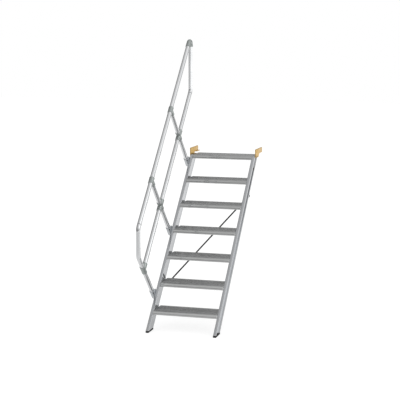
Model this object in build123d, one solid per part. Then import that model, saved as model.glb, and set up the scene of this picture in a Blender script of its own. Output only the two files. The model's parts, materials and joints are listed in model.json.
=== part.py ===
from build123d import *
from math import atan2, cos, radians, sin, tan
import os

# Aluminium hook-on stair with a tubular handrail on the climber's left, in millimetres.
# X runs along the treads, Y in the climbing direction, Z up.
# The stair is laid out from the floor, then moved so that the origin lies on the left hook's rest face.

# Flight
tread_count = 7
rise = 215.0
going = 215.0
first_rise = 175.0
tread_length = 600.0

# Tread extrusion
tread_depth = 235.0
tread_front_height = 36.0
tread_rear_height = 30.0
tread_plate = 3.0
tread_wall = 3.0
tread_lip = 12.0
nosing_radius = 4.0
groove_pitch = 22.0
groove_width = 6.0
groove_depth = 1.2
first_groove = 18.0
front_line_drop = 20.0
front_line_height = 3.0
rib_thickness = 2.5
screw_channel = 5.2
screw_fin = 8.0

# Stringer extrusion, an I-section with hollow flanges
stringer_thickness = 28.0
stringer_depth = 100.0
stringer_setback = 20.0
stringer_wall = 2.0
stringer_web = 5.0
front_flange = 10.0
rear_flange = 20.0

# Feet
foot_height = 18.0
foot_margin = 1.0
foot_chamfer = 3.0

# Handrail tubes and fittings
tube_diameter = 40.0
tube_wall = 2.0
fit_clearance = 0.15
fitting_wall = 3.5
handrail_height = 725.0
knee_rail_height = 351.0
lower_post = 213.0
middle_post = 930.0
upper_post = 1775.0
bow_front = 235.0
bow_radius = 75.0
riser_place = 1416.0
riser_radius = 50.0
elbow_radius = 28.0
elbow_rail_arm = 62.0
elbow_rail_socket = 48.0
elbow_riser_arm = 23.0
elbow_riser_socket = 19.0
bend_tail = 10.0
tee_sleeve = 66.0
tee_socket = 62.0
cross_sleeve = 128.0
cross_post_sleeve = 96.0
tube_stop = 3.0
joint_ring = 4.0
spigot_sides = 8
long_spigot = 30.0
short_spigot = 8.0

# Post brackets
bracket_plate = 5.0
bracket_width = 62.0
bracket_forward = 14.0
bracket_reach = 112.0
bracket_socket = 25.0
bracket_mouth = 8.0
bracket_bottom = 100.0
socket_sink = 2.5
post_foot = 40.0

# Hooks
hook_thickness = 10.0
hook_height = 50.0
hook_length = 265.0
hook_lap = 140.0
platform_step = 14.0
hook_leg = 32.0
hook_leg_width = 112.0
hook_corner = 8.0
hook_flange = 22.0
flange_thickness = 5.0
rest_margin = 6.0

# Diagonal brace behind the treads
brace_diameter = 14.0
brace_standoff = 75.0
brace_low = 414.0
brace_high = 1492.0
brace_overhang = 8.0
lug_margin = 8.0
lug_width = 28.0
lug_thickness = 6.0

slope = atan2(rise, going)
slope_x = Vector(0, cos(slope), sin(slope))
slope_up = Vector(0, -sin(slope), cos(slope))
nosing_line = Vector(0, 0, first_rise)
half_length = tread_length / 2
stringer_middle = half_length + stringer_thickness / 2
outer_face = half_length + stringer_thickness
tube_radius = tube_diameter / 2
fitting_bore = tube_radius + fit_clearance
fitting_radius = fitting_bore + fitting_wall
rail_side = -(outer_face + bracket_plate + bracket_socket - socket_sink)
stringer_rear = -stringer_setback - stringer_depth
top_tread_level = first_rise + (tread_count - 1) * rise
platform_level = top_tread_level + platform_step


def slope_point(x, along, height):
    """Point at a side position, a distance along the nosing line and a height square to it."""
    return nosing_line + Vector(x, 0, 0) + slope_x * along + slope_up * height


def slope_sketch_plane(x):
    return Plane(origin=slope_point(x, 0, 0), x_dir=slope_x, z_dir=(1, 0, 0))


def side_plane(x):
    return Plane(origin=(x, 0, 0), x_dir=(0, 1, 0), z_dir=(1, 0, 0))


def rod(start, end, radius):
    direction = end - start
    return extrude(Plane(origin=start, z_dir=direction) * Circle(radius), amount=direction.length)


def tube(start, end):
    return rod(start, end, tube_radius) - rod(start, end, tube_radius - tube_wall)


def bent_rod(points, radius, outer_radius):
    path = FilletPolyline(*points, radius=radius)
    mouth = Plane(origin=path @ 0, z_dir=path % 0)
    return sweep(mouth * Circle(outer_radius), path=path)


def bent_tube(points, radius):
    """Tube of straight runs and bends, open in its two end runs and closed between them."""
    body = bent_rod(points, radius, tube_radius)
    for end, corner, beyond in (points[:3], points[:-4:-1]):
        turn = radians((corner - end).get_angle(beyond - corner))
        run = (corner - end).length - radius * tan(turn / 2)
        body -= rod(end, end + (corner - end).normalized() * run, tube_radius - tube_wall)
    return body


def tread_profile():
    """Grooved plate with a nosing, a rear wall, ribs and screw channels, from its front-top edge."""
    depth = tread_depth
    profile = Pos(depth / 2, -tread_plate / 2) * Rectangle(depth, tread_plate)
    profile += Pos(tread_wall / 2, -tread_front_height / 2) * Rectangle(tread_wall, tread_front_height)
    profile += Pos(depth - tread_wall / 2, -tread_rear_height / 2) * Rectangle(tread_wall, tread_rear_height)
    lip = Rectangle(tread_lip, tread_wall)
    profile += Pos(tread_lip / 2, tread_wall / 2 - tread_front_height) * lip
    profile += Pos(depth - tread_lip / 2, tread_wall / 2 - tread_rear_height) * lip
    fin_drop = (tread_plate + screw_fin) / 2
    for place, way in ((depth / 3, -1), (2 * depth / 3, 1)):
        profile += Pos(place, -tread_rear_height / 2) * Rectangle(rib_thickness, tread_rear_height)
        fin = place + way * (rib_thickness + screw_channel)
        profile += Pos(fin, -fin_drop) * Rectangle(rib_thickness, tread_plate + screw_fin)
    groove = Rectangle(groove_width, 2 * groove_depth)
    groove_count = int((depth - 2 * first_groove) / groove_pitch) + 1
    for i in range(groove_count):
        profile -= Pos(first_groove + i * groove_pitch, 0) * groove
    profile -= Pos(0, -front_line_drop) * Rectangle(2 * groove_depth, front_line_height)
    nosing = profile.vertices().sort_by_distance((0, 0, 0))[0]
    return fillet(nosing, radius=nosing_radius)


def tread(number, profile):
    front = Plane(
        origin=(-half_length, number * going, first_rise + number * rise),
        x_dir=(0, 1, 0),
        z_dir=(1, 0, 0),
    )
    return extrude(front * profile, amount=tread_length)


def stringer_profile():
    """I-section with box flanges: first direction across the stair, second away from the climber."""
    half = stringer_depth / 2
    web_height = stringer_depth - front_flange - rear_flange
    profile = Rectangle(stringer_thickness, stringer_depth)
    recess = Rectangle(stringer_thickness, web_height)
    recess -= Rectangle(stringer_web, web_height)
    profile -= Pos(0, front_flange - half + web_height / 2) * recess
    inner_width = stringer_thickness - 2 * stringer_wall
    for flange, middle in ((front_flange, front_flange / 2 - half), (rear_flange, half - rear_flange / 2)):
        profile -= Pos(0, middle) * Rectangle(inner_width, flange - 2 * stringer_wall)
    return profile


def stringer(side):
    start = slope_point(side * stringer_middle, 0, -stringer_setback - stringer_depth / 2)
    spare = 3 * stringer_depth
    run_down = (first_rise + spare) / sin(slope)
    run_up = (tread_count * rise + spare) / sin(slope)
    section = Plane(origin=start - slope_x * run_down, x_dir=(1, 0, 0), z_dir=slope_x)
    body = extrude(section * stringer_profile(), amount=run_down + run_up)
    keep_height = top_tread_level - foot_height
    keep = Box(4 * outer_face, 3 * (run_up + run_down), keep_height)
    return body & (Pos(0, 0, foot_height + keep_height / 2) * keep)


def stringer_place(height, z):
    """Position along Y of a stringer face, given its height square to the slope, at a level."""
    return (z - first_rise) / tan(slope) - height / sin(slope)


def foot(side):
    front = stringer_place(-stringer_setback, foot_height) - foot_margin
    rear = stringer_place(stringer_rear, foot_height) + foot_margin
    width = stringer_thickness + 2 * foot_margin
    pad = Pos(side * stringer_middle, (front + rear) / 2, foot_height / 2)
    pad *= Box(width, rear - front, foot_height)
    rims = pad.edges().filter_by(Plane.XY).group_by(Axis.Z)[0]
    return chamfer(rims, length=foot_chamfer)


def post_bracket(along):
    """Plate on the stringer's outer side with a socket for the post's foot."""
    plate_side = -(outer_face + bracket_plate)
    middle = Pos(along, (bracket_forward - bracket_reach) / 2)
    outline = middle * Rot(0, 0, 90) * SlotOverall(bracket_forward + bracket_reach, bracket_width)
    plate = extrude(slope_sketch_plane(plate_side) * outline, amount=bracket_plate)
    mouth = slope_point(rail_side, along, bracket_mouth)
    seat = slope_point(rail_side, along, post_height())
    bottom = slope_point(rail_side, along, -bracket_bottom)
    return plate + rod(mouth, bottom, bracket_socket) - rod(mouth, seat, fitting_bore)


def post_height():
    """Height of a post's cut foot, square to the slope."""
    return -stringer_setback - post_foot


def straight_post(along):
    return tube(
        slope_point(rail_side, along, post_height()),
        slope_point(rail_side, along, handrail_height - tube_radius - tube_stop),
    )


def handrail_corner(y):
    """Point of the handrail's axis at a position along Y."""
    along = (y + handrail_height * sin(slope)) / cos(slope)
    return slope_point(rail_side, along, handrail_height)


def knee_corner(y):
    along = (y + knee_rail_height * sin(slope)) / cos(slope)
    return slope_point(rail_side, along, knee_rail_height)


def post_corner(y):
    """Point of the lower post's axis at a position along Y."""
    height = (lower_post * cos(slope) - y) / sin(slope)
    return slope_point(rail_side, lower_post, height)


bow_top_corner = handrail_corner(-bow_front)
bow_low_corner = post_corner(-bow_front)
bow_turn = radians(90) - slope
bow_start = bow_top_corner + slope_x * (bow_radius * tan(bow_turn / 2) + bend_tail)
top_corner = handrail_corner(riser_place)
knee_top_corner = knee_corner(riser_place)
elbow_turn = radians(90) + slope
elbow_tangent = elbow_radius * tan(elbow_turn / 2)
riser_tangent = riser_radius * tan((radians(90) - slope) / 2)
elbow_rail_end = top_corner - slope_x * (elbow_tangent + elbow_rail_arm)
elbow_riser_end = top_corner - Vector(0, 0, elbow_tangent + elbow_riser_arm)
rail_in_elbow = elbow_rail_end + slope_x * elbow_rail_socket
riser_in_elbow = elbow_riser_end + Vector(0, 0, elbow_riser_socket)
riser_end = knee_top_corner - slope_x * (riser_tangent + bend_tail)
ring_gap = slope_x * joint_ring


def handrail():
    return tube(bow_start + ring_gap, rail_in_elbow)


def handrail_bow():
    foot_end = slope_point(rail_side, lower_post, post_height())
    return bent_tube((bow_start, bow_top_corner, bow_low_corner, foot_end), bow_radius)


def riser():
    return bent_tube((riser_in_elbow, knee_top_corner, riser_end), riser_radius)


def top_elbow():
    body = bent_rod((elbow_rail_end, top_corner, elbow_riser_end), elbow_radius, fitting_radius)
    body -= rod(elbow_rail_end, rail_in_elbow, fitting_bore)
    return body - rod(elbow_riser_end, riser_in_elbow, fitting_bore)


def joint_connector(ring_start, below, above):
    """Ring between two tube ends, with a many-sided spigot into each."""
    spigot = RegularPolygon(tube_radius - tube_wall - fit_clearance, spigot_sides)
    low_end = Plane(origin=ring_start - slope_x * below, z_dir=slope_x)
    ring = rod(ring_start, ring_start + ring_gap, tube_radius)
    return ring + extrude(low_end * spigot, amount=below + joint_ring + above)


def knee_rail_end(post, way):
    """End of a knee rail in the fitting on a post, on the side that the way gives."""
    return slope_point(rail_side, post + way * (fitting_bore + tube_stop), knee_rail_height)


def post_tee(along):
    """Sleeve on the handrail with a socket for the post's top."""
    middle = slope_point(rail_side, along, handrail_height)
    reach = slope_x * (tee_sleeve / 2)
    socket_end = middle - slope_up * tee_socket
    post_top = middle - slope_up * (tube_radius + tube_stop)
    body = rod(middle - reach, middle + reach, fitting_radius)
    body += rod(middle, socket_end, fitting_radius)
    body -= rod(middle - reach, middle + reach, fitting_bore)
    return body - rod(post_top, socket_end, fitting_bore)


def rail_cross(along, ahead=True):
    """Sleeve on a post with sockets for the knee rail on one side or both."""
    middle = slope_point(rail_side, along, knee_rail_height)
    ways = (slope_x, -slope_x) if ahead else (slope_x,)
    up = slope_up * (cross_post_sleeve / 2)
    body = rod(middle - up, middle + up, fitting_radius)
    for way in ways:
        body += rod(middle, middle + way * (cross_sleeve / 2), fitting_radius)
    body -= rod(middle - up, middle + up, fitting_bore)
    for way in ways:
        stop = middle + way * (fitting_bore + tube_stop)
        body -= rod(stop, middle + way * (cross_sleeve / 2), fitting_bore)
    return body


hook_front = stringer_place(stringer_rear, platform_level) - hook_lap
hook_rear = hook_front + hook_length
rest_front = stringer_place(stringer_rear, platform_level) + rest_margin
rest_rear = hook_rear - hook_corner


def hook(side):
    """Angle that lies on the platform edge, with a leg bolted to the stringer's outer side."""
    leg_bottom = platform_level - hook_leg
    outline = Polyline(
        (hook_front, platform_level + hook_height),
        (hook_rear, platform_level + hook_height),
        (hook_rear, platform_level),
        (rest_front, platform_level),
        (hook_front + hook_leg_width, leg_bottom),
        (hook_front, leg_bottom),
        close=True,
    )
    shape = make_face(outline)
    corners = [v for v in shape.vertices() if v.Y != platform_level or v.X == hook_rear]
    shape = fillet(corners, radius=hook_corner)
    inner = outer_face if side > 0 else -outer_face - hook_thickness
    plate = extrude(side_plane(inner) * shape, amount=hook_thickness)
    flange = Box(hook_flange, rest_rear - rest_front, flange_thickness)
    middle = (rest_front + rest_rear) / 2
    place = Pos(side * (outer_face - hook_flange / 2), middle, platform_level + flange_thickness / 2)
    return plate + place * flange


def brace_eye(side):
    """Middle of the lug's eye, at the stringer's inner edge."""
    along = brace_low if side < 0 else brace_high
    return slope_point(side * (half_length + lug_thickness / 2), along, stringer_rear - brace_standoff)


brace_way = (brace_eye(1) - brace_eye(-1)).normalized()


def brace():
    spare = brace_way * brace_overhang
    return rod(brace_eye(-1) - spare, brace_eye(1) + spare, brace_diameter / 2)


def brace_lug(side):
    """Stand-off on the stringer's rear face with an eye round the brace's end."""
    eye = brace_eye(side)
    along = brace_low if side < 0 else brace_high
    tip = stringer_rear - brace_standoff - brace_diameter / 2 - lug_margin
    outline = Pos(along, (stringer_rear + tip) / 2) * Rectangle(lug_width, stringer_rear - tip)
    plate = extrude(slope_sketch_plane(eye.X - lug_thickness / 2) * outline, amount=lug_thickness)
    reach = brace_way * lug_width
    return plate - rod(eye - reach, eye + reach, brace_diameter / 2 + fit_clearance)


nodes = {}
profile = tread_profile()
for i in range(tread_count):
    nodes[f"tread_{i + 1}"] = tread(i, profile)
for side, name in ((-1, "left"), (1, "right")):
    nodes[f"{name}_stringer"] = stringer(side)
    nodes[f"{name}_foot"] = foot(side)
    nodes[f"{name}_top_hook"] = hook(side)
nodes["diagonal_brace"] = brace()
nodes["handrail"] = handrail()
nodes["handrail_bow"] = handrail_bow()
nodes["top_riser"] = riser()
nodes["middle_post"] = straight_post(middle_post)
nodes["upper_post"] = straight_post(upper_post)
nodes["knee_rail_lower"] = tube(knee_rail_end(lower_post, 1), knee_rail_end(middle_post, -1))
nodes["knee_rail_middle"] = tube(knee_rail_end(middle_post, 1), knee_rail_end(upper_post, -1))
nodes["knee_rail_upper"] = tube(knee_rail_end(upper_post, 1), riser_end - ring_gap)

# Like fittings share a node, as solids that don't touch
nodes["brace_lugs"] = brace_lug(-1) + brace_lug(1)
nodes["handrail_fittings"] = top_elbow() + [post_tee(along) for along in (middle_post, upper_post)]
nodes["knee_rail_fittings"] = rail_cross(lower_post, ahead=False)
nodes["knee_rail_fittings"] += [rail_cross(along) for along in (middle_post, upper_post)]
nodes["tube_joints"] = joint_connector(bow_start, short_spigot, long_spigot)
nodes["tube_joints"] += joint_connector(riser_end - ring_gap, long_spigot, short_spigot)
nodes["post_brackets"] = post_bracket(lower_post)
nodes["post_brackets"] += [post_bracket(along) for along in (middle_post, upper_post)]

origin = Vector(-outer_face - hook_thickness / 2, (rest_front + rest_rear) / 2, platform_level)

os.makedirs("parts", exist_ok=True)
for name, solid in nodes.items():
    export_step(Pos(-origin.X, -origin.Y, -origin.Z) * solid, f"parts/{name}.step")
print("origin from the floor point below the first nosing", origin, "nodes", len(nodes))
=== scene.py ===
# Aluminium stair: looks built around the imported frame, in metres
import json
import math
import bmesh
import bpy
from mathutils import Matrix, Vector


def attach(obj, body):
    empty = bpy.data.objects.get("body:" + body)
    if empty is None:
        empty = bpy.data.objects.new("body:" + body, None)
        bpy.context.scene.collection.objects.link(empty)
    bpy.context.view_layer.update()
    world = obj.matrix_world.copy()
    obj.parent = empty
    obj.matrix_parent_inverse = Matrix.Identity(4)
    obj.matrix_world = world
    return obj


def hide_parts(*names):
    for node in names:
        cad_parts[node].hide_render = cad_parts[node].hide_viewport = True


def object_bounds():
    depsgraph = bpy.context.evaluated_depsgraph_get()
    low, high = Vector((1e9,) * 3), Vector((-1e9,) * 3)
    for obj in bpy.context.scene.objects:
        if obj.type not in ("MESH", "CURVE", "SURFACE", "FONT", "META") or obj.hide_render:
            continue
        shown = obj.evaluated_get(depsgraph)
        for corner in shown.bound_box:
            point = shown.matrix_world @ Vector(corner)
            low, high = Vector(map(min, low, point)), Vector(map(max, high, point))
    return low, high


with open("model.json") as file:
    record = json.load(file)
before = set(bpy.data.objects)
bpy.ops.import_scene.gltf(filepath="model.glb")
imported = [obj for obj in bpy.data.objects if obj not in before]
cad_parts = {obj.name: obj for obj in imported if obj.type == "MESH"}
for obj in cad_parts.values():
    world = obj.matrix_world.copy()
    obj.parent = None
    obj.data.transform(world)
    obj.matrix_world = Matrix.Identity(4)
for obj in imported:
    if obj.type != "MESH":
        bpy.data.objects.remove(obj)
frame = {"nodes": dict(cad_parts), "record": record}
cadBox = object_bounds()
nodes = frame["nodes"]
scene = bpy.context.scene
print("frame loaded:", len(nodes), "nodes")

# Places on the stair: x along the treads, then along the nosing line and square to it
layout = {"origin": Vector((-0.333, 1.5352056, 1.479)), "firstRise": 0.175, "rise": 0.215,
          "going": 0.215, "treads": 7}
slopeWay = Vector((0, 1, 1)).normalized()
slopeUp = Vector((0, -1, 1)).normalized()
upright = Vector((0, 0, 1))
rightward = Vector((1, 0, 0))


def fromFloor(x, y, z):
    return Vector((x, y, z)) - layout["origin"]


def onSlope(x, along, height):
    return fromFloor(x, 0, layout["firstRise"]) + slopeWay * along + slopeUp * height


# Camera at the photograph's angle; focal length in pixels of its 400 pixel frame
photoView = {"frame": 400, "focal": 1209.5, "sensor": 36.0, "clipEnd": 200.0,
             "place": (3.371, -11.7232, 1.279), "turn": 15.854, "tilt": -8.319}


def makeCamera(view):
    data = bpy.data.cameras.new("photoCamera")
    data.sensor_width = view["sensor"]
    data.lens = view["sensor"] * view["focal"] / view["frame"]
    data.clip_end = view["clipEnd"]
    camera = bpy.data.objects.new("photoCamera", data)
    camera.location = view["place"]
    camera.rotation_euler = (math.radians(90 + view["tilt"]), 0, math.radians(view["turn"]))
    scene.collection.objects.link(camera)
    scene.camera = camera


makeCamera(photoView)
print("camera placed")


def newMaterial(name):
    material = bpy.data.materials.new(name)
    material.use_nodes = True
    tree = material.node_tree
    tree.nodes.clear()
    return material, tree


def addNode(tree, kind, settings=None, **values):
    node = tree.nodes.new(kind)
    for key, value in (settings or {}).items():
        setattr(node, key, value)
    for key, value in values.items():
        node.inputs[key].default_value = value
    return node


def mapRange(tree, source, low, high, fromLow=0.3, fromHigh=0.7):
    node = tree.nodes.new("ShaderNodeMapRange")
    ends = {"From Min": fromLow, "From Max": fromHigh, "To Min": low, "To Max": high}
    for key, value in ends.items():
        node.inputs[key].default_value = value
    tree.links.new(source, node.inputs["Value"])
    return node.outputs["Result"]


# Noise for every finish, and the parts of its range where stains and roughness set in
noiseDetail = {"roughness": 0.6, "grain": 4, "cloud": 3, "speck": 6, "stainRange": (0.45, 0.75),
               "roughRange": (0.45, 0.7)}


def surfaceNoise(tree, turn, perMetre, detail, size=1.0):
    # turned first and stretched after, so that a grain can run along a sloping piece
    mapping = tree.nodes.new("ShaderNodeMapping")
    mapping.vector_type = "TEXTURE"
    mapping.inputs["Rotation"].default_value = turn
    mapping.inputs["Scale"].default_value = [1 / count for count in perMetre]
    coordinates = tree.nodes.new("ShaderNodeTexCoord")
    tree.links.new(coordinates.outputs["Object"], mapping.inputs["Vector"])
    noise = tree.nodes.new("ShaderNodeTexNoise")
    noise.inputs["Scale"].default_value = size
    noise.inputs["Detail"].default_value = detail
    noise.inputs["Roughness"].default_value = noiseDetail["roughness"]
    tree.links.new(mapping.outputs["Vector"], noise.inputs["Vector"])
    return noise.outputs["Fac"]


def metalFinish(name, look):
    material, tree = newMaterial(name)
    shader = tree.nodes.new("ShaderNodeBsdfPrincipled")
    shader.inputs["Metallic"].default_value = look["metallic"]
    grain = surfaceNoise(tree, look["turn"], look["grain"], noiseDetail["grain"])
    cloud = surfaceNoise(tree, (0, 0, 0), (1, 1, 1), noiseDetail["cloud"], look["cloud"])
    speck = surfaceNoise(tree, (0, 0, 0), (1, 1, 1), noiseDetail["speck"], look["speck"])

    shade = tree.nodes.new("ShaderNodeMix")
    shade.data_type = "RGBA"
    shade.inputs["A"].default_value = (*[c * look["dark"] for c in look["colour"]], 1)
    shade.inputs["B"].default_value = (*[min(1, c * look["light"]) for c in look["colour"]], 1)
    tree.links.new(mapRange(tree, grain, 0, 1), shade.inputs["Factor"])
    stained = tree.nodes.new("ShaderNodeMix")
    stained.data_type = "RGBA"
    stained.inputs["B"].default_value = (*look["stain"], 1)
    tree.links.new(shade.outputs["Result"], stained.inputs["A"])
    stain = mapRange(tree, cloud, 0, look["stained"], *noiseDetail["stainRange"])
    tree.links.new(stain, stained.inputs["Factor"])
    tree.links.new(stained.outputs["Result"], shader.inputs["Base Color"])

    rough = tree.nodes.new("ShaderNodeMath")
    rough.operation = "ADD"
    low, high, added = look["rough"]
    tree.links.new(mapRange(tree, grain, low, high), rough.inputs[0])
    roughCloud = mapRange(tree, cloud, 0, added, *noiseDetail["roughRange"])
    tree.links.new(roughCloud, rough.inputs[1])
    tree.links.new(rough.outputs[0], shader.inputs["Roughness"])

    grainBump = addNode(tree, "ShaderNodeBump", Strength=look["bump"][0], Distance=look["bump"][1])
    speckBump = addNode(tree, "ShaderNodeBump", Strength=look["pits"][0], Distance=look["pits"][1])
    tree.links.new(grain, grainBump.inputs["Height"])
    tree.links.new(speck, speckBump.inputs["Height"])
    tree.links.new(grainBump.outputs["Normal"], speckBump.inputs["Normal"])
    tree.links.new(speckBump.outputs["Normal"], shader.inputs["Normal"])
    out = tree.nodes.new("ShaderNodeOutputMaterial")
    tree.links.new(shader.outputs[0], out.inputs["Surface"])
    return material


# What a finish has unless it says otherwise; grain is in waves per metre along x, y and z
commonLook = {"turn": (0, 0, 0), "grain": (3, 260, 260), "metallic": 1.0, "dark": 0.92,
              "light": 1.05, "cloud": 5.0, "speck": 900.0, "stained": 0.35,
              "bump": (0.10, 0.00008), "pits": (0.04, 0.00003)}
stainShade = 0.8


def newLook(colour, rough, **others):
    # rough: lowest, highest, and what a cloudy patch adds
    stain = tuple(c * stainShade for c in colour)
    return {**commonLook, "colour": colour, "rough": rough, "stain": stain, **others}


# Turns that lay a grain stretched along Y onto the slope, square to it and upright
grainTurns = {"slope": (math.radians(45), 0, 0), "square": (math.radians(135), 0, 0),
              "upright": (math.radians(90), 0, 0)}
tubeLook = {"colour": (0.80, 0.81, 0.82), "rough": (0.14, 0.20, 0.04), "grain": (300, 4, 300)}
finishLooks = {
    "tread_aluminium": newLook(
        (0.52, 0.525, 0.525), (0.05, 0.08, 0.03), bump=(0.05, 0.00004), pits=(0.02, 0.00002)),
    "stringer_aluminium": newLook(
        (0.51, 0.52, 0.535), (0.05, 0.09, 0.03), turn=grainTurns["slope"], grain=(260, 3, 260)),
    "tube_aluminium": newLook(turn=grainTurns["slope"], **tubeLook),
    "cast_fitting": newLook(
        (0.42, 0.45, 0.44), (0.32, 0.42, 0.06), grain=(300, 300, 300), pits=(0.25, 0.0004),
        speck=500.0),
    "bracket_aluminium": newLook(
        (0.60, 0.62, 0.64), (0.30, 0.40, 0.06), grain=(300, 300, 300), pits=(0.2, 0.0003),
        speck=500.0),
    "joint_plastic": newLook(
        (0.06, 0.062, 0.065), (0.42, 0.52, 0.05), grain=(200, 200, 200), metallic=0.0),
    "dark_steel": newLook((0.07, 0.07, 0.07), (0.38, 0.5, 0.1), grain=(90, 90, 90), stained=0.5),
    "yellow_zinc_steel": newLook(
        (0.74, 0.48, 0.16), (0.30, 0.42, 0.08), grain=(40, 40, 40), stain=(0.66, 0.47, 0.15),
        stained=0.7, cloud=26.0, dark=0.9, light=1.08),
    "black_rubber": newLook(
        (0.012, 0.012, 0.012), (0.55, 0.7, 0.1), grain=(150, 150, 150), metallic=0.0,
        pits=(0.4, 0.0004)),
}
finishes = {slotName: metalFinish(slotName.replace("_", ""), values)
            for slotName, values in finishLooks.items()}
tubeFinishes = {"slope": finishes["tube_aluminium"]}
for way in ("square", "upright"):
    values = newLook(turn=grainTurns[way], **tubeLook)
    tubeFinishes[way] = metalFinish("tubealuminium" + way.capitalize(), values)
slots = {part["node"]: part["material_slot"] for part in frame["record"]["subparts"]}
for name, piece in nodes.items():
    piece.data.materials.clear()
    piece.data.materials.append(finishes[slots[name]])
print("finishes set:", len(finishes))

# Studio: white for the camera, graded for reflections, one soft box on the right
studio = {"floorSize": 60.0, "floorColour": 0.30, "floorGlow": 0.80, "level": 0.9,
          "mirroredFloor": (0.38, 0.80, -6.0, 6.0),
          "mirrored": ((0.0, 1.0), (0.06, 0.36), (0.30, 0.34), (0.60, 0.70), (0.95, 0.78)),
          "mirroredSides": ((0.10, 0.50), (0.365, 0.87), (0.635, 1.05), (0.90, 1.55)),
          "boxPlace": (7.0, -1.5, 3.5), "boxSize": (6.0, 4.0), "boxPower": 58.0}


def gradedShade(tree, source, stops):
    node = tree.nodes.new("ShaderNodeValToRGB")
    ramp = node.color_ramp
    while len(ramp.elements) < len(stops):
        ramp.elements.new(1.0)
    for element, (place, shade) in zip(ramp.elements, stops):
        element.position, element.color = place, (shade, shade, shade, 1)
    tree.links.new(source, node.inputs["Fac"])
    return node.outputs["Color"]


def makeWorld(values):
    world = bpy.data.worlds.new("studioWorld")
    world.use_nodes = True
    tree = world.node_tree
    tree.nodes.clear()
    path = tree.nodes.new("ShaderNodeLightPath")
    seen = addNode(tree, "ShaderNodeMath", {"operation": "MAXIMUM"})
    tree.links.new(path.outputs["Is Camera Ray"], seen.inputs[0])
    tree.links.new(path.outputs["Is Transmission Ray"], seen.inputs[1])

    # Glossy metal sees a studio with a dark band above the horizon and a brighter right side
    coordinates = tree.nodes.new("ShaderNodeTexCoord")
    parts = tree.nodes.new("ShaderNodeSeparateXYZ")
    tree.links.new(coordinates.outputs["Generated"], parts.inputs[0])
    sideways = mapRange(tree, parts.outputs["X"], 0, 1, -1, 1)
    graded = addNode(tree, "ShaderNodeMath", {"operation": "MULTIPLY"})
    tree.links.new(gradedShade(tree, parts.outputs["Z"], values["mirrored"]), graded.inputs[0])
    tree.links.new(gradedShade(tree, sideways, values["mirroredSides"]), graded.inputs[1])
    mirrored = tree.nodes.new("ShaderNodeMix")
    mirrored.data_type = "FLOAT"
    mirrored.inputs["A"].default_value = values["level"]
    tree.links.new(path.outputs["Is Glossy Ray"], mirrored.inputs["Factor"])
    tree.links.new(graded.outputs[0], mirrored.inputs["B"])

    light = addNode(tree, "ShaderNodeBackground", Color=(1, 1, 1, 1))
    tree.links.new(mirrored.outputs["Result"], light.inputs["Strength"])
    white = addNode(tree, "ShaderNodeBackground", Color=(1, 1, 1, 1), Strength=1.0)
    mix = tree.nodes.new("ShaderNodeMixShader")
    tree.links.new(seen.outputs[0], mix.inputs[0])
    tree.links.new(light.outputs[0], mix.inputs[1])
    tree.links.new(white.outputs[0], mix.inputs[2])
    out = tree.nodes.new("ShaderNodeOutputWorld")
    tree.links.new(mix.outputs[0], out.inputs["Surface"])
    scene.world = world


def makeFloor(values):
    half = values["floorSize"] / 2
    level = cadBox[0].z
    corners = [(x * half, y * half, level) for x, y in ((-1, -1), (1, -1), (1, 1), (-1, 1))]
    mesh = bpy.data.meshes.new("floor")
    mesh.from_pydata(corners, [], [(0, 1, 2, 3)])
    floor = bpy.data.objects.new("floor", mesh)
    scene.collection.objects.link(floor)
    material, tree = newMaterial("palefloor")
    path = tree.nodes.new("ShaderNodeLightPath")
    coordinates = tree.nodes.new("ShaderNodeTexCoord")
    parts = tree.nodes.new("ShaderNodeSeparateXYZ")
    tree.links.new(coordinates.outputs["Object"], parts.inputs[0])
    plain = addNode(tree, "ShaderNodeMath", {"operation": "MULTIPLY"})
    plain.inputs[1].default_value = values["floorGlow"]
    tree.links.new(path.outputs["Is Camera Ray"], plain.inputs[0])
    mirrored = addNode(tree, "ShaderNodeMath", {"operation": "MULTIPLY"})
    far = mapRange(tree, parts.outputs["Y"], *values["mirroredFloor"])
    tree.links.new(far, mirrored.inputs[0])
    tree.links.new(path.outputs["Is Glossy Ray"], mirrored.inputs[1])
    strength = addNode(tree, "ShaderNodeMath", {"operation": "MAXIMUM"})
    tree.links.new(plain.outputs[0], strength.inputs[0])
    tree.links.new(mirrored.outputs[0], strength.inputs[1])
    diffuse = addNode(tree, "ShaderNodeBsdfDiffuse", Color=(*[values["floorColour"]] * 3, 1))
    glow = addNode(tree, "ShaderNodeEmission", Color=(1, 1, 1, 1))
    tree.links.new(strength.outputs[0], glow.inputs["Strength"])
    both = tree.nodes.new("ShaderNodeAddShader")
    tree.links.new(diffuse.outputs[0], both.inputs[0])
    tree.links.new(glow.outputs[0], both.inputs[1])
    out = tree.nodes.new("ShaderNodeOutputMaterial")
    tree.links.new(both.outputs[0], out.inputs["Surface"])
    mesh.materials.append(material)


def makeSoftbox(values):
    light = bpy.data.lights.new("softbox", "AREA")
    light.shape, light.energy = "RECTANGLE", values["boxPower"]
    light.size, light.size_y = values["boxSize"]
    box = bpy.data.objects.new("softbox", light)
    box.location = values["boxPlace"]
    box.rotation_euler = (-Vector(values["boxPlace"])).to_track_quat("-Z", "Y").to_euler()
    scene.collection.objects.link(box)


makeWorld(studio)
makeFloor(studio)
makeSoftbox(studio)
scene.view_settings.view_transform = "Standard"
print("studio ready")

# Weld distances of new meshes and CAD copies, and angles in degrees: a face counts as flat below
# "flat", an edge is softened above "soften", shading breaks above "crease", a casting never breaks
meshDetail = {"weld": 1e-6, "cadWeld": 2e-6, "flat": 0.4, "soften": 30, "crease": 32,
              "casting": 180, "smoothing": 0.5, "softenSteps": 2}
# Sides of round shapes, how finely a bend is divided, and from what share of X a way is sideways
roundness = {"rib": 8, "head": 24, "washer": 32, "pocket": 32, "brace": 32, "bracket": 56,
             "joint": 64, "leastBendSteps": 4, "bendDegrees": 3, "sideways": 0.5}


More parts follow.
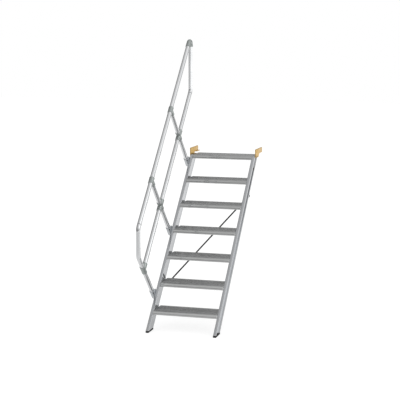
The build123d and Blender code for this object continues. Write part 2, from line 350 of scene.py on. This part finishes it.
def addPiece(name, mesh, slotName, standsFor=(), sharp=meshDetail["crease"], finish=None):
    piece = bpy.data.objects.new(name, mesh)
    scene.collection.objects.link(piece)
    mesh.materials.clear()
    mesh.materials.append(finish or finishes[slotName])
    for face in mesh.polygons:
        face.use_smooth = True
    mesh.set_sharp_from_angle(angle=math.radians(sharp))
    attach(piece, "root")
    if standsFor:
        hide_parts(*standsFor)


def outward(mesh):
    work = bmesh.new()
    work.from_mesh(mesh)
    bmesh.ops.remove_doubles(work, verts=work.verts, dist=meshDetail["weld"])
    bmesh.ops.recalc_face_normals(work, faces=work.faces)
    work.to_mesh(mesh)
    work.free()
    return mesh


def ringsMesh(chains):
    # each chain is a list of rings; a chain that returns to its start is closed like a tube wall
    points, faces = [], []
    for rings, wrap in chains:
        base, count = len(points), len(rings[0])
        points += [p for ring in rings for p in ring]
        for i in range(len(rings) if wrap else len(rings) - 1):
            here, there = base + i * count, base + (i + 1) % len(rings) * count
            for j in range(count):
                k = (j + 1) % count
                faces.append((here + j, here + k, there + k, there + j))
        if not wrap:
            faces.append(tuple(range(base + count - 1, base - 1, -1)))
            faces.append(tuple(range(base + (len(rings) - 1) * count, base + len(rings) * count)))
    mesh = bpy.data.meshes.new("rings")
    mesh.from_pydata(points, [], faces)
    return outward(mesh)


def ringAt(place, way, radius, count):
    # the first point lies towards the right, or upwards where the way itself runs along the treads
    across = rightward if abs(way.x) < roundness["sideways"] else upright
    first = (across - way * across.dot(way)).normalized()
    second = way.cross(first)
    turns = [2 * math.pi * j / count for j in range(count)]
    return [place + (first * math.cos(t) + second * math.sin(t)) * radius for t in turns]


def bentPath(points, radius):
    stations = [(points[0], (points[1] - points[0]).normalized())]
    for before, corner, after in zip(points, points[1:], points[2:]):
        arriving, leaving = (corner - before).normalized(), (after - corner).normalized()
        turn = arriving.angle(leaving)
        side = (leaving - arriving * arriving.dot(leaving)).normalized()
        centre = corner - arriving * (radius * math.tan(turn / 2)) + side * radius
        steps = round(math.degrees(turn) / roundness["bendDegrees"])
        steps = max(roundness["leastBendSteps"], steps)
        for i in range(steps + 1):
            t = turn * i / steps
            place = centre + (arriving * math.sin(t) - side * math.cos(t)) * radius
            stations.append((place, arriving * math.cos(t) + side * math.sin(t)))
    stations.append((points[-1], (points[-1] - points[-2]).normalized()))
    return stations


def tubeChain(points, bend, values):
    # outer skin, end edge and inner skin of a tube, with its cut ends slightly broken
    stations = bentPath(points, bend)
    outer, edge, count = values["radius"], values["edge"], values["segments"]
    first, last = stations[0], stations[-1]
    rings = [ringAt(*first, outer - edge, count),
             ringAt(first[0] + first[1] * edge, first[1], outer, count)]
    rings += [ringAt(place, way, outer, count) for place, way in stations[1:-1]]
    rings += [ringAt(last[0] - last[1] * edge, last[1], outer, count),
              ringAt(*last, outer - edge, count)]
    inner = outer - values["wall"]
    rings += [ringAt(place, way, inner, count) for place, way in reversed(stations)]
    return rings, True


def latheChain(start, way, profile, count):
    # rings along an axis: distance and radius pairs
    return [ringAt(start + way * far, way, radius, count) for far, radius in profile], False


def roundFront(work, values):
    # the long edges of a stringer's front face get a fuller corner than the rest
    level = slopeUp.dot(onSlope(0, 0, values["height"]))
    chosen = []
    for edge in work.edges:
        ends = [v.co for v in edge.verts]
        inFront = all(abs(slopeUp.dot(end) - level) < values["near"] for end in ends)
        along = abs((ends[0] - ends[1]).normalized().dot(slopeWay)) > values["parallel"]
        if inFront and along and edge.calc_face_angle(0.0) > values["leastAngle"]:
            chosen.append(edge)
    bmesh.ops.bevel(work, geom=chosen, offset=values["radius"], segments=values["segments"],
                    profile=0.5, affect="EDGES", clamp_overlap=True)


def refinedCopy(name, bevel, rounded=None, pockets=None):
    # a merged copy of a CAD node with its edges slightly rounded, and pockets for its screws
    work = bmesh.new()
    work.from_mesh(nodes[name].data)
    bmesh.ops.remove_doubles(work, verts=work.verts, dist=meshDetail["cadWeld"])
    bmesh.ops.dissolve_limit(work, angle_limit=math.radians(meshDetail["flat"]), verts=work.verts,
                             edges=work.edges)
    if rounded:
        roundFront(work, rounded)
    bmesh.ops.recalc_face_normals(work, faces=work.faces)
    mesh = bpy.data.meshes.new(name + "Copy")
    work.to_mesh(mesh)
    work.free()
    holder = bpy.data.objects.new("holder", mesh)
    scene.collection.objects.link(holder)
    if pockets:
        cutter = bpy.data.objects.new("cutter", pockets)
        scene.collection.objects.link(cutter)
        cut = holder.modifiers.new("cut", "BOOLEAN")
        cut.operation, cut.object = "DIFFERENCE", cutter
    soften = holder.modifiers.new("soften", "BEVEL")
    soften.width, soften.segments = bevel, meshDetail["softenSteps"]
    soften.limit_method, soften.angle_limit = "ANGLE", math.radians(meshDetail["soften"])
    soften.use_clamp_overlap = True
    mesh = takeMesh(holder)
    if pockets:
        bpy.data.objects.remove(cutter)
    return mesh


def takeMesh(holder):
    evaluated = holder.evaluated_get(bpy.context.evaluated_depsgraph_get())
    mesh = bpy.data.meshes.new_from_object(evaluated)
    bpy.data.objects.remove(holder)
    return mesh


def castMesh(chains, values):
    # overlapping shapes become one casting with soft inner corners
    holder = bpy.data.objects.new("holder", ringsMesh(chains))
    scene.collection.objects.link(holder)
    remesh = holder.modifiers.new("remesh", "REMESH")
    remesh.mode, remesh.voxel_size = "VOXEL", values["voxel"]
    smooth = holder.modifiers.new("smooth", "SMOOTH")
    smooth.factor, smooth.iterations = meshDetail["smoothing"], values["smoothing"]
    return takeMesh(holder)


def newTree(name, sockets):
    tree = bpy.data.node_groups.new(name, "GeometryNodeTree")
    newSocket = tree.interface.new_socket
    newSocket(name="Geometry", in_out="INPUT", socket_type="NodeSocketGeometry")
    for label, kind, value in sockets:
        socket = newSocket(name=label, in_out="INPUT", socket_type="NodeSocket" + kind)
        if value is not None:
            socket.default_value = value
    newSocket(name="Geometry", in_out="OUTPUT", socket_type="NodeSocketGeometry")
    return tree, tree.nodes.new("NodeGroupInput"), tree.nodes.new("NodeGroupOutput")


def link(tree, source, node, socket):
    tree.links.new(source, node.inputs[socket])


def raised(tree, mesh, lift):
    # moves a shape so that it stands on its own base, a given lift above it
    offset = tree.nodes.new("ShaderNodeCombineXYZ")
    tree.links.new(lift, offset.inputs["Z"])
    move = tree.nodes.new("GeometryNodeTransform")
    link(tree, mesh, move, "Geometry")
    link(tree, offset.outputs[0], move, "Translation")
    return move.outputs[0]


def mathNode(tree, kind, first, second):
    node = addNode(tree, "ShaderNodeMath", {"operation": kind})
    for i, value in enumerate((first, second)):
        if isinstance(value, (int, float)):
            node.inputs[i].default_value = value
        else:
            tree.links.new(value, node.inputs[i])
    return node.outputs[0]


def cylinderNode(tree, sides, radius, depth):
    node = addNode(tree, "GeometryNodeMeshCylinder", {"fill_type": "NGON"}, Vertices=sides)
    link(tree, radius, node, "Radius")
    link(tree, depth, node, "Depth")
    return node.outputs["Mesh"]


def standOnPoints(tree, given, gone, shape):
    # copies a shape to every point, turned to the point's own facing, as one plain mesh
    facing = addNode(tree, "GeometryNodeInputNamedAttribute", {"data_type": "FLOAT_VECTOR"},
                     Name="facing")
    turn = addNode(tree, "FunctionNodeAlignRotationToVector", {"axis": "Z"})
    link(tree, facing.outputs["Attribute"], turn, "Vector")
    copies = tree.nodes.new("GeometryNodeInstanceOnPoints")
    link(tree, given.outputs["Geometry"], copies, "Points")
    link(tree, shape, copies, "Instance")
    link(tree, turn.outputs["Rotation"], copies, "Rotation")
    solid = tree.nodes.new("GeometryNodeRealizeInstances")
    link(tree, copies.outputs[0], solid, "Geometry")
    painted = tree.nodes.new("GeometryNodeSetMaterial")
    link(tree, solid.outputs[0], painted, "Geometry")
    link(tree, given.outputs["Material"], painted, "Material")
    link(tree, painted.outputs[0], gone, "Geometry")


def nutTree():
    tree, given, gone = newTree("hexagonNuts", [
        ("Head Radius", "Float", 0.0125), ("Head Height", "Float", 0.008),
        ("Taper", "Float", 0.95), ("Washer Radius", "Float", 0.0135),
        ("Washer Height", "Float", 0.0015), ("Material", "Material", None)])
    put = given.outputs
    head = addNode(tree, "GeometryNodeMeshCone", {"fill_type": "NGON"}, Vertices=6)
    link(tree, mathNode(tree, "MULTIPLY", put["Head Radius"], put["Taper"]), head, "Radius Top")
    link(tree, put["Head Radius"], head, "Radius Bottom")
    link(tree, put["Head Height"], head, "Depth")
    lifted = raised(tree, head.outputs["Mesh"], put["Washer Height"])
    washer = cylinderNode(tree, roundness["washer"], put["Washer Radius"], put["Washer Height"])
    seated = raised(tree, washer, mathNode(tree, "MULTIPLY", put["Washer Height"], 0.5))
    joined = tree.nodes.new("GeometryNodeJoinGeometry")
    for part in (lifted, seated):
        tree.links.new(part, joined.inputs[0])
    standOnPoints(tree, given, gone, joined.outputs[0])
    return tree


def socketTree():
    tree, given, gone = newTree("socketScrews", [
        ("Head Radius", "Float", 0.005), ("Head Height", "Float", 0.002),
        ("Socket Radius", "Float", 0.0028), ("Socket Depth", "Float", 0.0014),
        ("Material", "Material", None)])
    put = given.outputs
    head = cylinderNode(tree, roundness["head"], put["Head Radius"], put["Head Height"])
    head = raised(tree, head, mathNode(tree, "MULTIPLY", put["Head Height"], 0.5))
    doubled = mathNode(tree, "MULTIPLY", put["Socket Depth"], 2.0)
    hexagon = cylinderNode(tree, 6, put["Socket Radius"], doubled)
    sunk = raised(tree, hexagon, put["Head Height"])
    cut = addNode(tree, "GeometryNodeMeshBoolean", {"operation": "DIFFERENCE"})
    link(tree, head, cut, "Mesh 1")
    link(tree, sunk, cut, "Mesh 2")
    standOnPoints(tree, given, gone, cut.outputs["Mesh"])
    return tree


def treadTree():
    # ribs laid across the tread's plate, then the whole tread repeated up the flight
    tree, given, gone = newTree("ribbedTreads", [
        ("Rib Radius", "Float", 0.0010), ("Rib Length", "Float", 0.5995), ("Rib Count", "Int", 9),
        ("Rib Pitch", "Float", 0.022), ("Rib Spread", "Float", 0.004),
        ("First Rib", "Vector", None), ("Tread Count", "Int", 7), ("Tread Step", "Vector", None),
        ("Material", "Material", None)])
    put = given.outputs
    rib = cylinderNode(tree, roundness["rib"], put["Rib Radius"], put["Rib Length"])
    laid = addNode(tree, "GeometryNodeTransform", Rotation=(0, math.radians(90), 0))
    link(tree, rib, laid, "Geometry")
    pitch = tree.nodes.new("ShaderNodeCombineXYZ")
    tree.links.new(put["Rib Pitch"], pitch.inputs["Y"])
    rows = tree.nodes.new("GeometryNodeMeshLine")
    link(tree, put["Rib Count"], rows, "Count")
    link(tree, put["First Rib"], rows, "Start Location")
    link(tree, pitch.outputs[0], rows, "Offset")
    pieces = [put["Geometry"]]
    for way in (-1, 1):
        offset = tree.nodes.new("ShaderNodeCombineXYZ")
        tree.links.new(mathNode(tree, "MULTIPLY", put["Rib Spread"], way), offset.inputs["Y"])
        moved = tree.nodes.new("GeometryNodeTransform")
        link(tree, rows.outputs[0], moved, "Geometry")
        link(tree, offset.outputs[0], moved, "Translation")
        copies = tree.nodes.new("GeometryNodeInstanceOnPoints")
        link(tree, moved.outputs[0], copies, "Points")
        link(tree, laid.outputs[0], copies, "Instance")
        pieces.append(copies.outputs[0])
    joined = tree.nodes.new("GeometryNodeJoinGeometry")
    for part in pieces:
        tree.links.new(part, joined.inputs[0])
    flight = tree.nodes.new("GeometryNodeMeshLine")
    link(tree, put["Tread Count"], flight, "Count")
    link(tree, put["Tread Step"], flight, "Offset")
    steps = tree.nodes.new("GeometryNodeInstanceOnPoints")
    link(tree, flight.outputs[0], steps, "Points")
    link(tree, joined.outputs[0], steps, "Instance")
    solid = tree.nodes.new("GeometryNodeRealizeInstances")
    link(tree, steps.outputs[0], solid, "Geometry")
    painted = tree.nodes.new("GeometryNodeSetMaterial")
    link(tree, solid.outputs[0], painted, "Geometry")
    link(tree, put["Material"], painted, "Material")
    link(tree, painted.outputs[0], gone, "Geometry")
    return tree


def runTree(tree, mesh, values):
    holder = bpy.data.objects.new("holder", mesh)
    modifier = holder.modifiers.new("nodes", "NODES")
    modifier.node_group = tree
    for item in tree.interface.items_tree:
        if item.item_type == "SOCKET" and item.in_out == "INPUT" and item.name in values:
            modifier[item.identifier] = values[item.name]
    scene.collection.objects.link(holder)
    return takeMesh(holder)


def pointsMesh(spots):
    mesh = bpy.data.meshes.new("spots")
    mesh.from_pydata([place for place, facing in spots], [], [])
    facings = mesh.attributes.new("facing", "FLOAT_VECTOR", "POINT")
    for i, (place, facing) in enumerate(spots):
        facings.data[i].vector = facing
    return mesh


hexagonNuts, socketScrews, ribbedTreads = nutTree(), socketTree(), treadTree()
print("node trees ready")

# Treads: one refined tread with fine ribs, repeated up the flight
treadDetail = {"edge": 0.0005, "ribRadius": 0.0010, "ribSink": 0.0006, "ribLength": 0.5995,
               "firstGroove": 0.018, "groovePitch": 0.022, "ribRows": 9, "ribSpread": 0.004}


def makeTreads(detail):
    firstRib = fromFloor(0, detail["firstGroove"] + detail["groovePitch"] / 2,
                         layout["firstRise"] - detail["ribSink"])
    mesh = runTree(ribbedTreads, refinedCopy("tread_1", detail["edge"]), {
        "Rib Radius": detail["ribRadius"], "Rib Length": detail["ribLength"],
        "Rib Count": detail["ribRows"], "Rib Pitch": detail["groovePitch"],
        "Rib Spread": detail["ribSpread"], "First Rib": tuple(firstRib),
        "Tread Count": layout["treads"], "Tread Step": (0, layout["going"], layout["rise"]),
        "Material": finishes["tread_aluminium"]})
    names = [f"tread_{i + 1}" for i in range(layout["treads"])]
    addPiece("ribbedTreads", mesh, "tread_aluminium", names)


makeTreads(treadDetail)
print("treads made")

# Screws that hold the hooks' legs: round heads sunk in pockets
seatDetail = {"face": 0.338, "places": (1.354, 1.404), "level": 1.4555, "pocket": 0.0085,
              "depth": 0.0045, "start": 0.001}


def hookScrewSpots(side):
    face, level = side * seatDetail["face"], seatDetail["level"]
    return [fromFloor(face, y, level) for y in seatDetail["places"]]


def hookPockets(side):
    inward = Vector((-side, 0, 0))
    radius, start = seatDetail["pocket"], seatDetail["start"]
    profile = ((0, radius), (start + seatDetail["depth"], radius))
    return ringsMesh([latheChain(spot - inward * start, inward, profile, roundness["pocket"])
                      for spot in hookScrewSpots(side)])


# Stringers, hooks and lugs keep the solids' shapes with broken edges
stringerFront = {"height": -0.020, "radius": 0.0045, "segments": 5, "near": 1e-4,
                 "parallel": 0.99, "leastAngle": 0.5}
edgeSizes = {"left_stringer": 0.0009, "right_stringer": 0.0009, "left_top_hook": 0.0012,
             "right_top_hook": 0.0012, "brace_lugs": 0.0008}
for nodeName, edgeSize in edgeSizes.items():
    side, *rest = nodeName.split("_")
    pieceName = side + "".join(word.capitalize() for word in rest)
    rounded = stringerFront if rest == ["stringer"] else None
    pockets = hookPockets(-1 if side == "left" else 1) if rest == ["top", "hook"] else None
    mesh = refinedCopy(nodeName, edgeSize, rounded=rounded, pockets=pockets)
    addPiece(pieceName, mesh, slots[nodeName], [nodeName])
print("plates and stringers softened")

# Flat cover strips with two fine lines, between the flanges on each stringer's inner side
coverDetail = {"side": 0.3002, "thickness": 0.0016, "front": -0.0302, "rear": -0.0998,
               "lineInset": 0.0045, "line": 0.0006, "endGap": 0.0006}


def coverSection(detail):
    # height square to the slope, and distance back from the visible face
    front, rear, line, back = detail["front"], detail["rear"], detail["line"], detail["thickness"]
    section = [(front, 0)]
    for middle in (front - detail["lineInset"], rear + detail["lineInset"]):
        section += [(middle + line, 0), (middle, line), (middle - line, 0)]
    return section + [(rear, 0), (rear, back), (front, back)]


def makeCover(side, name, detail):
    heights = [v.co.z + layout["origin"].z for v in nodes[name + "_stringer"].data.vertices]
    rings = []
    for level in (min(heights) + detail["endGap"], max(heights) - detail["endGap"]):
        y = level - layout["firstRise"]
        rings.append([fromFloor(side * (detail["side"] + back), y - math.sqrt(2) * height, level)
                      for height, back in coverSection(detail)])
    addPiece(name + "GrooveCover", ringsMesh([(rings, False)]), "stringer_aluminium")


for side, name in ((-1, "left"), (1, "right")):
    makeCover(side, name, coverDetail)
print("cover strips made")

# Rubber feet: a shoe with a raised rim, two grooves round it and a broken bottom edge
footDetail = {"width": 0.030, "length": 0.14342, "middle": 0.314, "place": -0.058, "corner": 0.004,
              "cornerSteps": 5,
              "rings": ((0.0, -0.003), (0.003, 0.0), (0.006, 0.0), (0.0068, -0.0012),
                        (0.0082, -0.0012), (0.009, 0.0), (0.0115, 0.0), (0.0123, -0.0012),
                        (0.0137, -0.0012), (0.0145, 0.0), (0.0172, 0.0), (0.018, -0.0008))}


def footRing(x, level, inset, detail):
    halfX, halfY = detail["width"] / 2 + inset, detail["length"] / 2 + inset
    corner, steps = detail["corner"], detail["cornerSteps"]
    ring = []
    for i, (signX, signY) in enumerate(((1, 1), (-1, 1), (-1, -1), (1, -1))):
        for j in range(steps + 1):
            t = math.pi / 2 * (i + j / steps)
            y = detail["place"] + signY * (halfY - corner) + corner * math.sin(t)
            ring.append(fromFloor(x + signX * (halfX - corner) + corner * math.cos(t), y, level))
    return ring


for side, name in ((-1, "left"), (1, "right")):
    rings = [footRing(side * footDetail["middle"], level, inset, footDetail)
             for level, inset in footDetail["rings"]]
    addPiece(name + "Foot", ringsMesh([(rings, False)]), "black_rubber", [name + "_foot"])
print("feet made")

# Handrail, posts and knee rail: drawn tubes
rail = {"side": -0.3555, "height": 0.725, "knee": 0.351, "posts": (0.213, 0.930, 1.775),
        "postFoot": -0.060, "postGap": 0.003, "kneeGap": 0.00315, "bowFront": -0.235,
        "bowRadius": 0.075, "riser": 1.416, "riserRadius": 0.050, "tail": 0.010, "ring": 0.004,
        "elbowRadius": 0.028, "elbowArms": (0.062, 0.023), "elbowSockets": (0.048, 0.019)}
# Half the angles of the bends from slope to upright and of the elbow
bendHalf, elbowHalf = math.radians(22.5), math.radians(67.5)
tubeDetail = {"radius": 0.020, "wall": 0.002, "edge": 0.0006, "segments": 64}


def railCorner(y, height):
    return onSlope(rail["side"], math.sqrt(2) * y + height, height)


def railPoint(along, height):
    return onSlope(rail["side"], along, height)


bowTop = railCorner(rail["bowFront"], rail["height"])
bowLow = railPoint(rail["posts"][0], rail["posts"][0] - math.sqrt(2) * rail["bowFront"])
bowStart = bowTop + slopeWay * (rail["bowRadius"] * math.tan(bendHalf) + rail["tail"])
topCorner = railCorner(rail["riser"], rail["height"])
kneeTop = railCorner(rail["riser"], rail["knee"])
elbowReach = rail["elbowRadius"] * math.tan(elbowHalf)
railMouth = topCorner - slopeWay * (elbowReach + rail["elbowArms"][0])
riserMouth = topCorner - upright * (elbowReach + rail["elbowArms"][1])
railInElbow = railMouth + slopeWay * rail["elbowSockets"][0]
riserInElbow = riserMouth + upright * rail["elbowSockets"][1]
riserEnd = kneeTop - slopeWay * (rail["riserRadius"] * math.tan(bendHalf) + rail["tail"])
postFeet = [railPoint(along, rail["postFoot"]) for along in rail["posts"]]
kneeReach = tubeDetail["radius"] + rail["kneeGap"]
kneeEnds = [[railPoint(along + way * kneeReach, rail["knee"]) for way in (-1, 1)]
            for along in rail["posts"]]
postTop = rail["height"] - tubeDetail["radius"] - rail["postGap"]
ringStep = slopeWay * rail["ring"]
# Per piece: its node, the points that it runs through, the radius of its bends and its grain
tubeRuns = {
    "handrailTube": ("handrail", (bowStart + ringStep, railInElbow), 0, "slope"),
    "handrailBow": ("handrail_bow", (bowStart, bowTop, bowLow, postFeet[0]), rail["bowRadius"],
                    "upright"),
    "topRiser": ("top_riser", (riserInElbow, kneeTop, riserEnd), rail["riserRadius"], "upright"),
    "middlePost": ("middle_post", (postFeet[1], railPoint(rail["posts"][1], postTop)), 0,
                   "square"),
    "upperPost": ("upper_post", (postFeet[2], railPoint(rail["posts"][2], postTop)), 0, "square"),
    "kneeRailLower": ("knee_rail_lower", (kneeEnds[0][1], kneeEnds[1][0]), 0, "slope"),
    "kneeRailMiddle": ("knee_rail_middle", (kneeEnds[1][1], kneeEnds[2][0]), 0, "slope"),
    "kneeRailUpper": ("knee_rail_upper", (kneeEnds[2][1], riserEnd - ringStep), 0, "slope"),
}
for name, (nodeName, points, bend, way) in tubeRuns.items():
    mesh = ringsMesh([tubeChain(points, bend, tubeDetail)])
    addPiece(name, mesh, "tube_aluminium", [nodeName], finish=tubeFinishes[way])
print("tubes made:", len(tubeRuns))

# Dark rings between tube ends, with a spigot into each
jointDetail = {"radius": 0.020, "edge": 0.0005, "spigot": 0.0178, "taper": 0.001, "short": 0.008,
               "long": 0.030}


def jointChain(start, below, above, detail):
    ring, edge, taper = rail["ring"], detail["edge"], detail["taper"]
    radius, spigot = detail["radius"], detail["spigot"]
    profile = ((-below, spigot - taper), (-below + taper, spigot), (0, spigot), (0, radius - edge),
               (edge, radius), (ring - edge, radius), (ring, radius - edge), (ring, spigot),
               (ring + above - taper, spigot), (ring + above, spigot - taper))
    return latheChain(start, slopeWay, profile, roundness["joint"])


short, long = jointDetail["short"], jointDetail["long"]
joints = [jointChain(bowStart, short, long, jointDetail),
          jointChain(riserEnd - ringStep, long, short, jointDetail)]
addPiece("tubeJoints", ringsMesh(joints), "joint_plastic", ["tube_joints"])
print("tube joints made")

# Cast fittings: sleeves with a thicker band at each mouth
castDetail = {"radius": 0.02365, "band": 0.0248, "bandWidth": 0.009, "edge": 0.0012,
              "voxel": 0.0018, "smoothing": 4, "segments": 56, "teeSleeve": 0.066,
              "teeSocket": 0.062, "crossSleeve": 0.128, "postSleeve": 0.096,
              "elbowMouth": 0.018, "elbowBand": 0.0072}


def sleeve(start, end, detail, bands=(True, True)):
    way, far = (end - start).normalized(), (end - start).length
    radius, band = detail["radius"], detail["band"]
    width, edge = detail["bandWidth"], detail["edge"]
    first = band if bands[0] else radius
    last = band if bands[1] else radius
    profile = ((0, first - edge), (edge, first), (width, first), (width + edge, radius),
               (far - width - edge, radius), (far - width, last), (far - edge, last),
               (far, last - edge))
    return latheChain(start, way, profile, detail["segments"])


def makeFittings(detail):
    chains = []
    for along in rail["posts"][1:]:
        middle = railPoint(along, rail["height"])
        reach = slopeWay * (detail["teeSleeve"] / 2)
        chains.append(sleeve(middle - reach, middle + reach, detail))
        socketEnd = middle - slopeUp * detail["teeSocket"]
        chains.append(sleeve(middle, socketEnd, detail, (False, True)))
    stations = bentPath((railMouth, topCorner, riserMouth), rail["elbowRadius"])
    elbow = [ringAt(place, way, detail["radius"], detail["segments"]) for place, way in stations]
    chains.append((elbow, False))
    mouth = {**detail, "bandWidth": detail["elbowBand"]}
    for place, way in ((railMouth, slopeWay), (riserMouth, upright)):
        chains.append(sleeve(place, place + way * detail["elbowMouth"], mouth, (True, False)))
    addPiece("handrailFittings", castMesh(chains, detail), "cast_fitting", ["handrail_fittings"],
             meshDetail["casting"])

    chains = []
    for i, along in enumerate(rail["posts"]):
        middle = railPoint(along, rail["knee"])
        rise = slopeUp * (detail["postSleeve"] / 2)
        reach = slopeWay * (detail["crossSleeve"] / 2)
        chains.append(sleeve(middle - rise, middle + rise, detail))
        chains.append(sleeve(middle - reach * (i > 0), middle + reach, detail, (i > 0, True)))
    addPiece("kneeRailFittings", castMesh(chains, detail), "cast_fitting", ["knee_rail_fittings"],
             meshDetail["casting"])


makeFittings(castDetail)
print("fittings cast")

# Post brackets: an oblong plate with a socket for the post
bracketDetail = {"plateSide": -0.328, "plate": 0.005, "width": 0.062, "top": 0.014,
                 "bottom": -0.112, "socket": 0.025, "mouth": 0.008, "end": -0.100,
                 "edge": 0.002, "voxel": 0.0017, "smoothing": 3, "steps": 24}


def makeBrackets(detail):
    chains = []
    half, edge, socket = detail["width"] / 2, detail["edge"], detail["socket"]
    middles = (detail["top"] - half, detail["bottom"] + half)
    far = detail["mouth"] - detail["end"]
    profile = ((0, socket - edge), (edge, socket), (far - edge, socket), (far, socket - edge))
    for along in rail["posts"]:
        outline = []
        for k, middle in enumerate(middles):
            for j in range(detail["steps"] + 1):
                t = math.pi * (k + j / detail["steps"])
                outline.append((along + half * math.cos(t), middle + half * math.sin(t)))
        rings = [[onSlope(x, a, h) for a, h in outline]
                 for x in (detail["plateSide"], detail["plateSide"] - detail["plate"])]
        chains.append((rings, False))
        start = railPoint(along, detail["mouth"])
        chains.append(latheChain(start, -slopeUp, profile, roundness["bracket"]))
    addPiece("postBrackets", castMesh(chains, detail), "bracket_aluminium", ["post_brackets"],
             meshDetail["casting"])


makeBrackets(bracketDetail)
print("brackets made")

# Diagonal brace: a rod held by nuts on its lugs
braceDetail = {"radius": 0.007, "low": 0.414, "high": 1.492, "height": -0.195, "side": 0.303,
               "overhang": 0.008, "edge": 0.0008, "nutSeat": 0.0045}
braceLow = onSlope(-braceDetail["side"], braceDetail["low"], braceDetail["height"])
braceHigh = onSlope(braceDetail["side"], braceDetail["high"], braceDetail["height"])
braceWay = (braceHigh - braceLow).normalized()


def makeBrace(detail):
    far = (braceHigh - braceLow).length + 2 * detail["overhang"]
    edge, radius = detail["edge"], detail["radius"]
    profile = ((0, radius - edge), (edge, radius), (far - edge, radius), (far, radius - edge))
    start = braceLow - braceWay * detail["overhang"]
    chain = latheChain(start, braceWay, profile, roundness["brace"])
    addPiece("diagonalBrace", ringsMesh([chain]), "dark_steel", ["diagonal_brace"])


makeBrace(braceDetail)
print("brace made")

# Screws and nuts: sizes by kind, each set at spots that have a place and a facing
fastenerSizes = {
    "hookScrews": {"Head Radius": 0.0075, "Head Height": 0.0040, "Socket Radius": 0.0034,
                   "Socket Depth": 0.0022},
    "braceNuts": {"Head Radius": 0.0125, "Head Height": 0.008, "Washer Radius": 0.0135,
                  "Washer Height": 0.0015},
    "bracketScrews": {"Head Radius": 0.0062, "Head Height": 0.0030, "Socket Radius": 0.0030,
                      "Socket Depth": 0.0020},
    "grubScrews": {"Head Radius": 0.0045, "Head Height": 0.0016, "Socket Radius": 0.0024,
                   "Socket Depth": 0.0012},
}


def addFasteners(name, tree, spots):
    values = {**fastenerSizes[name], "Material": finishes["dark_steel"]}
    addPiece(name, runTree(tree, pointsMesh(spots), values), "dark_steel")


def makeHookScrews(seat):
    spots = []
    for side in (-1, 1):
        away = Vector((side, 0, 0))
        spots += [(spot - away * seat["depth"], away) for spot in hookScrewSpots(side)]
    addFasteners("hookScrews", socketScrews, spots)


def makeBraceNuts(detail):
    ends = ((braceLow, braceWay), (braceHigh, -braceWay))
    spots = [(place + way * detail["nutSeat"], way) for place, way in ends]
    addFasteners("braceNuts", hexagonNuts, spots)


makeHookScrews(seatDetail)
makeBraceNuts(braceDetail)

# Screws on the brackets' sockets, and grub screws in the cast sleeves. bracketWay is a share of
# rightward and one of slopeWay, elbowWay a share of rightward and one towards the front
screwDetail = {"bracketHeights": (-0.008, -0.063), "bracketWay": (0.62, -0.78),
               "bracketSink": 0.0006, "grubSink": 0.0008, "inset": 0.020, "bandInset": 0.016,
               "riserInset": 0.018, "elbowWay": (0.8, 0.6)}


def makeBracketScrews(detail):
    right, along = detail["bracketWay"]
    facing = (rightward * right + slopeWay * along).normalized()
    reach = facing * (bracketDetail["socket"] - detail["bracketSink"])
    spots = [(railPoint(post, height) + reach, facing)
             for post in rail["posts"] for height in detail["bracketHeights"]]
    addFasteners("bracketScrews", socketScrews, spots)


def makeGrubScrews(detail):
    spots = []
    radius = castDetail["radius"] - detail["grubSink"]
    outerWay = -rightward

    def addSpot(place, facing=outerWay):
        spots.append((place + facing * radius, facing))

    inset, bandInset = detail["inset"], detail["bandInset"]
    for post in rail["posts"][1:]:
        middle = railPoint(post, rail["height"])
        addSpot(middle - slopeUp * (castDetail["teeSocket"] - inset))
        for way in (-1, 1):
            addSpot(middle + slopeWay * (way * (castDetail["teeSleeve"] / 2 - bandInset)))
    for i, post in enumerate(rail["posts"]):
        middle = railPoint(post, rail["knee"])
        for way in (-1, 1):
            addSpot(middle + slopeUp * (way * (castDetail["postSleeve"] / 2 - bandInset)))
            if i > 0 or way > 0:
                addSpot(middle + slopeWay * (way * (castDetail["crossSleeve"] / 2 - inset)))
    right, front = detail["elbowWay"]
    addSpot(riserMouth + upright * detail["riserInset"], Vector((right, -front, 0)).normalized())
    addSpot(railMouth + slopeWay * inset)
    addFasteners("grubScrews", socketScrews, spots)


makeBracketScrews(screwDetail)
makeGrubScrews(screwDetail)
print("screws and nuts set")
